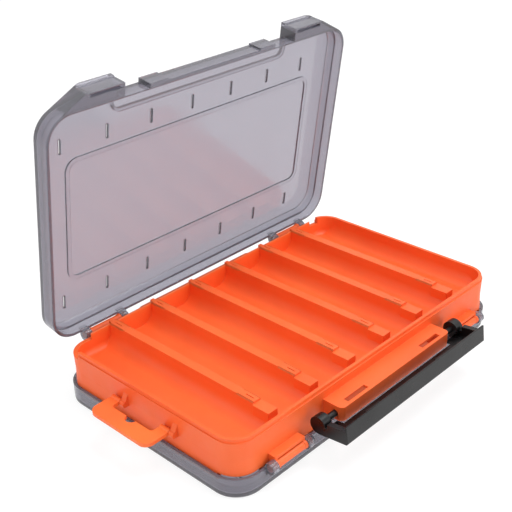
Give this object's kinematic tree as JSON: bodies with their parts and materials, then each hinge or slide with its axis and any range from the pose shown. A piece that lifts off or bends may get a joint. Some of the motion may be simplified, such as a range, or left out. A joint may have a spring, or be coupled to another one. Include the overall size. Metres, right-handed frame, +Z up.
{
  "type": "tackle box",
  "caption": "Double-sided tackle box: a divided tray between two see-through lids, with bar latch handles and a hanging tab.",
  "frame": {"origin": "centre of the flat face that the box rests on, midway between the tray's end walls and its long walls", "axes": "+X along the box's long side away from the hanging tab, +Y from the front latch to the upper lid's hinge, +Z up"},
  "size_m": [0.2898, 0.2118, 0.211],
  "materials": {
    "tray_plastic": "satin injection-moulded orange polypropylene",
    "smoked_clear_plastic": "smoke-grey translucent moulded plastic, smooth",
    "black_plastic": "satin black moulded plastic",
    "tab_plastic": "satin orange moulded plastic"
  },
  "bodies": {
    "tray": {"tray": "tray_plastic"},
    "top_lid": {"top_lid": "smoked_clear_plastic"},
    "bottom_lid": {"bottom_lid": "smoked_clear_plastic"},
    "front_handle": {"front_latch_handle": "black_plastic"},
    "rear_handle": {"rear_latch_handle": "black_plastic"},
    "tab": {"hanging_tab": "tab_plastic"}
  },
  "joints": [
    {"name": "top_lid_hinge", "type": "hinge", "parent": "tray", "child": "top_lid", "pos_m": [0, 0.0851, 0.0348], "axis": [-1, 0, 0], "range_deg": [-81, 21]},
    {"name": "bottom_lid_hinge", "type": "hinge", "parent": "tray", "child": "bottom_lid", "pos_m": [0, -0.0851, 0.0152], "axis": [-1, 0, 0], "range_deg": [0, 102]},
    {"name": "front_latch_pivot", "type": "hinge", "parent": "tray", "child": "front_handle", "pos_m": [0, -0.0889, 0.0265], "axis": [-1, 0, 0], "range_deg": [0, 83]},
    {"name": "rear_latch_pivot", "type": "hinge", "parent": "tray", "child": "rear_handle", "pos_m": [0, 0.0889, 0.0235], "axis": [1, 0, 0], "range_deg": [-15, 70]},
    {"name": "hanging_tab_pivot", "type": "hinge", "parent": "tray", "child": "tab", "pos_m": [-0.1352, 0, 0.025], "axis": [0, 1, 0], "range_deg": [-80, 80]}
  ]
}
